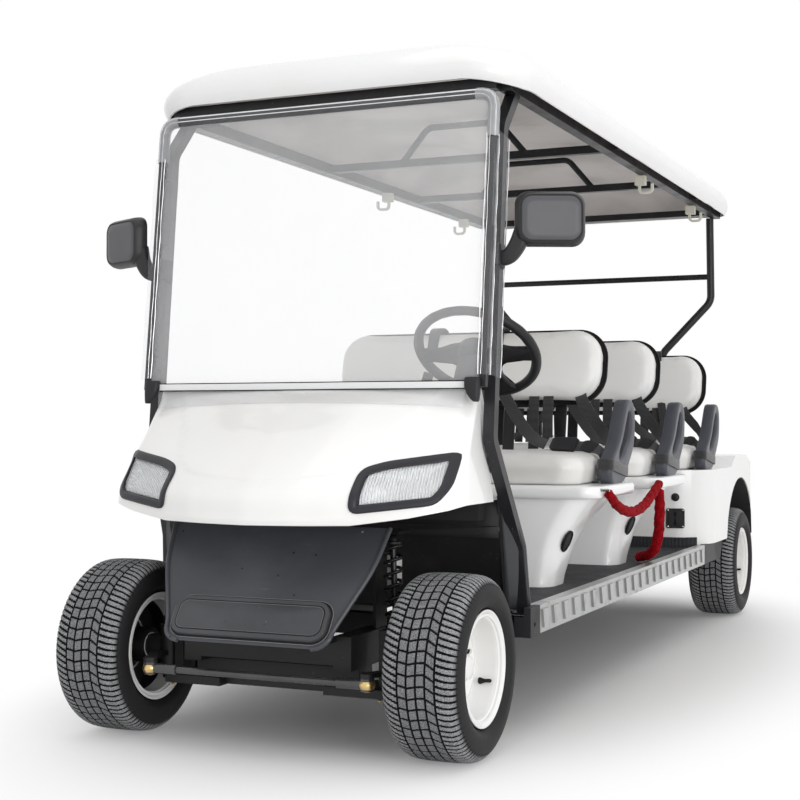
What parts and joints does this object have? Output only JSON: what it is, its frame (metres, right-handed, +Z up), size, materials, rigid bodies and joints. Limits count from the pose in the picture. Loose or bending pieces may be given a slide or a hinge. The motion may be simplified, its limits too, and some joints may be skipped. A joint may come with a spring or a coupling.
{
  "type": "six-seat electric golf cart",
  "caption": "Open passenger golf cart with forward-facing benches, moulded roof, clear windscreen, steered front wheels and lap belts.",
  "frame": {"origin": "on the floor under the middle of the cart's length and width", "axes": "+Z up, -Y forward, +X to the cart's left"},
  "size_m": [1.4634, 3.6695, 1.8759],
  "materials": {
    "black_steel": "satin black",
    "floor_rubber": "ribbed dark grey",
    "sill_aluminium": "fluted, film-covered",
    "black_plastic": "matt black",
    "white_gloss": "glossy white",
    "black_gloss": "satin black",
    "lamp_lens": "clear ribbed",
    "dark_grey": "dark grey",
    "screen_glass": "clear",
    "screen_frame": "film-wrapped tube",
    "liner_grey": "warm grey",
    "cream_plastic": "cream",
    "mirror_black": "dark charcoal",
    "mirror_glass": "mirror",
    "tail_red": "red lens",
    "pearl_vinyl": "pearl off-white vinyl",
    "soft_black": "soft-touch black",
    "belt_webbing": "black webbing",
    "black_rubber": "black",
    "spring_black": "black springs",
    "battery_plastic": "dark",
    "hook_steel": "steel",
    "red_rope": "red velvet sleeve",
    "rod_steel": "black",
    "white_steel": "glossy white",
    "tyre": "turf tread"
  },
  "bodies": {
    "chassis": {"frame_rails": "black_steel", "cross_members": "black_steel", "upper_rails": "black_steel", "floor_tray": "black_steel", "floor_mat": "floor_rubber", "sill_strips": "sill_aluminium", "sill_ends": "black_plastic", "front_cowl": "white_gloss", "headlight_bezels": "black_gloss", "headlight_lenses": "lamp_lens", "front_panel": "black_plastic", "dashboard": "black_plastic", "kick_panels": "dark_grey", "front_posts": "black_steel", "windscreen": "screen_glass", "windscreen_frame": "screen_frame", "rear_hoop": "black_steel", "roof_frame": "black_steel", "roof_shell": "white_gloss", "roof_liner": "liner_grey", "roof_clips": "cream_plastic", "mirror_housings": "mirror_black", "mirror_glasses": "mirror_glass", "seat_pods": "white_gloss", "rear_body": "white_gloss", "arch_liners": "black_plastic", "rear_bumper": "black_plastic", "tail_lamps": "tail_red", "seat_cushions": "pearl_vinyl", "backrests": "pearl_vinyl", "backrest_shells": "black_plastic", "backrest_struts": "black_steel", "armrests": "soft_black", "seat_belts": "belt_webbing", "steering_column": "black_plastic", "pedals": "black_rubber", "charge_socket": "black_plastic", "front_suspension": "black_steel", "shock_absorbers": "spring_black", "rear_axle": "black_steel", "leaf_springs": "black_steel", "battery_block": "battery_plastic", "rope_hooks": "hook_steel", "rope_swag": "red_rope", "rope_drop": "red_rope"},
    "knuckle_left": {"knuckle_left": "black_steel"},
    "knuckle_right": {"knuckle_right": "black_steel"},
    "tie_rod": {"tie_rod": "rod_steel"},
    "steering_wheel": {"steering_wheel": "soft_black"},
    "wheel_front_left": {"rim_front_left": "white_steel", "tyre_front_left": "tyre"},
    "wheel_front_right": {"rim_front_right": "white_steel", "tyre_front_right": "tyre"},
    "wheel_rear_left": {"rim_rear_left": "white_steel", "tyre_rear_left": "tyre"},
    "wheel_rear_right": {"rim_rear_right": "white_steel", "tyre_rear_right": "tyre"}
  },
  "joints": [
    {"name": "steering_wheel_turn", "type": "hinge", "parent": "chassis", "child": "steering_wheel", "pos_m": [0.305, -0.99525, 1.032], "axis": [0, 0.6428, 0.766], "range_deg": [-450, 450]},
    {"name": "steer_left", "type": "hinge", "parent": "chassis", "child": "knuckle_left", "pos_m": [0.345, -1.60525, 0.2295], "axis": [0, 0, 1], "range_deg": [-25, 25]},
    {"name": "steer_right", "type": "hinge", "parent": "chassis", "child": "knuckle_right", "pos_m": [-0.345, -1.60525, 0.2295], "axis": [0, 0, 1], "range_deg": [-25, 25]},
    {"name": "tie_rod_pivot", "type": "hinge", "parent": "knuckle_left", "child": "tie_rod", "pos_m": [0.309, -1.75425, 0.205], "axis": [0, 0, 1], "range_deg": [-25, 25]},
    {"name": "roll_front_left", "type": "hinge", "parent": "knuckle_left", "child": "wheel_front_left", "pos_m": [0.468, -1.60525, 0.2295], "axis": [1, 0, 0], "continuous": true},
    {"name": "roll_front_right", "type": "hinge", "parent": "knuckle_right", "child": "wheel_front_right", "pos_m": [-0.468, -1.60525, 0.2295], "axis": [1, 0, 0], "continuous": true},
    {"name": "roll_rear_left", "type": "hinge", "parent": "chassis", "child": "wheel_rear_left", "pos_m": [0.514, 1.43275, 0.2295], "axis": [1, 0, 0], "continuous": true},
    {"name": "roll_rear_right", "type": "hinge", "parent": "chassis", "child": "wheel_rear_right", "pos_m": [-0.514, 1.43275, 0.2295], "axis": [1, 0, 0], "continuous": true}
  ],
  "couplings": [
    {"joint": "steer_left", "follows": "steering_wheel_turn", "ratio": 0.055556},
    {"joint": "steer_right", "follows": "steering_wheel_turn", "ratio": 0.055556},
    {"joint": "tie_rod_pivot", "follows": "steering_wheel_turn", "ratio": -0.055556}
  ]
}
